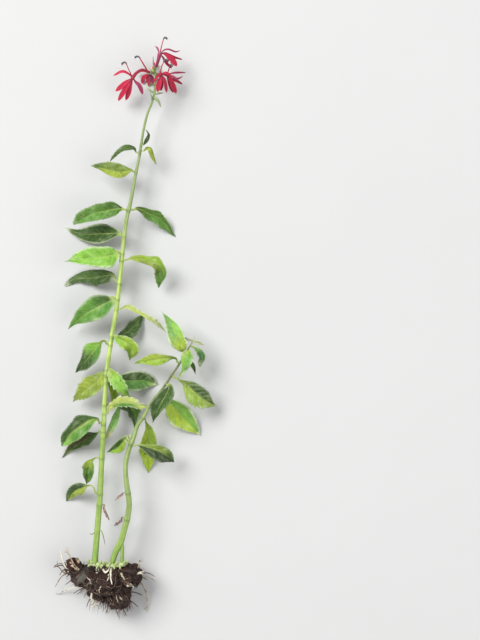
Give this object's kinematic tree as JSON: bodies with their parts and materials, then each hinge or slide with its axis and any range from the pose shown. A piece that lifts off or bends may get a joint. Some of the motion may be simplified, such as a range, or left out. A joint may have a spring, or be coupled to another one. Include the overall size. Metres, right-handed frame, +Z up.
{
  "type": "cardinal flower plant",
  "caption": "Uprooted cardinal flower plant lying down: two leafy stems on a matted root ball, with toothed leaves and a head of red, split-lipped flowers.",
  "frame": {"origin": "on the surface that the plant lies on, below the middle of its bounding box", "axes": "+Y along the plant from its roots to its flowers, +X to the right as it is looked down on, +Z up from the surface"},
  "size_m": [0.1654, 0.5826, 0.0555],
  "materials": {
    "leaf_dark": "satin",
    "leaf_mid": "satin",
    "leaf_light": "satin",
    "leaf_withered": "matte",
    "stem_green": "satin",
    "crown_green": "satin",
    "petal_red": "satin",
    "anther_grey": "matte",
    "root_brown": "matte"
  },
  "bodies": {
    "root": {"anthers_front": "anther_grey", "anthers_left": "anther_grey", "anthers_rear": "anther_grey", "anthers_right": "anther_grey", "anthers_top": "anther_grey", "corolla_front": "petal_red", "corolla_left": "petal_red", "corolla_rear": "petal_red", "corolla_right": "petal_red", "corolla_top": "petal_red", "leaf_main_01": "leaf_mid", "leaf_main_02": "leaf_light", "leaf_main_03": "leaf_mid", "leaf_main_04": "leaf_light", "leaf_main_05": "leaf_mid", "leaf_main_06": "leaf_mid", "leaf_main_07": "leaf_dark", "leaf_main_08": "leaf_light", "leaf_main_09": "leaf_dark", "leaf_main_10": "leaf_light", "leaf_main_11": "leaf_mid", "leaf_main_12": "leaf_light", "leaf_main_13": "leaf_dark", "leaf_main_14": "leaf_light", "leaf_main_15": "leaf_mid", "leaf_main_16": "leaf_light", "leaf_main_17": "leaf_light", "leaf_main_18": "leaf_light", "leaf_main_19": "leaf_dark", "leaf_main_20": "leaf_light", "leaf_main_21": "leaf_dark", "leaf_main_22": "leaf_mid", "leaf_main_23": "leaf_dark", "leaf_main_24": "leaf_mid", "leaf_main_25": "leaf_mid", "leaf_main_26": "leaf_mid", "leaf_side_01": "leaf_light", "leaf_side_02": "leaf_light", "leaf_side_03": "leaf_dark", "leaf_side_04": "leaf_dark", "leaf_side_05": "leaf_mid", "leaf_side_06": "leaf_mid", "leaf_side_07": "leaf_light", "leaf_side_08": "leaf_light", "leaf_side_09": "leaf_light", "leaf_side_10": "leaf_mid", "leaf_side_11": "leaf_dark", "leaf_side_12": "leaf_light", "leaf_side_13": "leaf_light", "main_stem": "stem_green", "root_ball": "root_brown", "rootstock": "crown_green", "side_stem": "stem_green", "withered_leaf_1": "leaf_withered", "withered_leaf_2": "leaf_withered", "withered_leaf_3": "leaf_withered"}
  },
  "joints": []
}
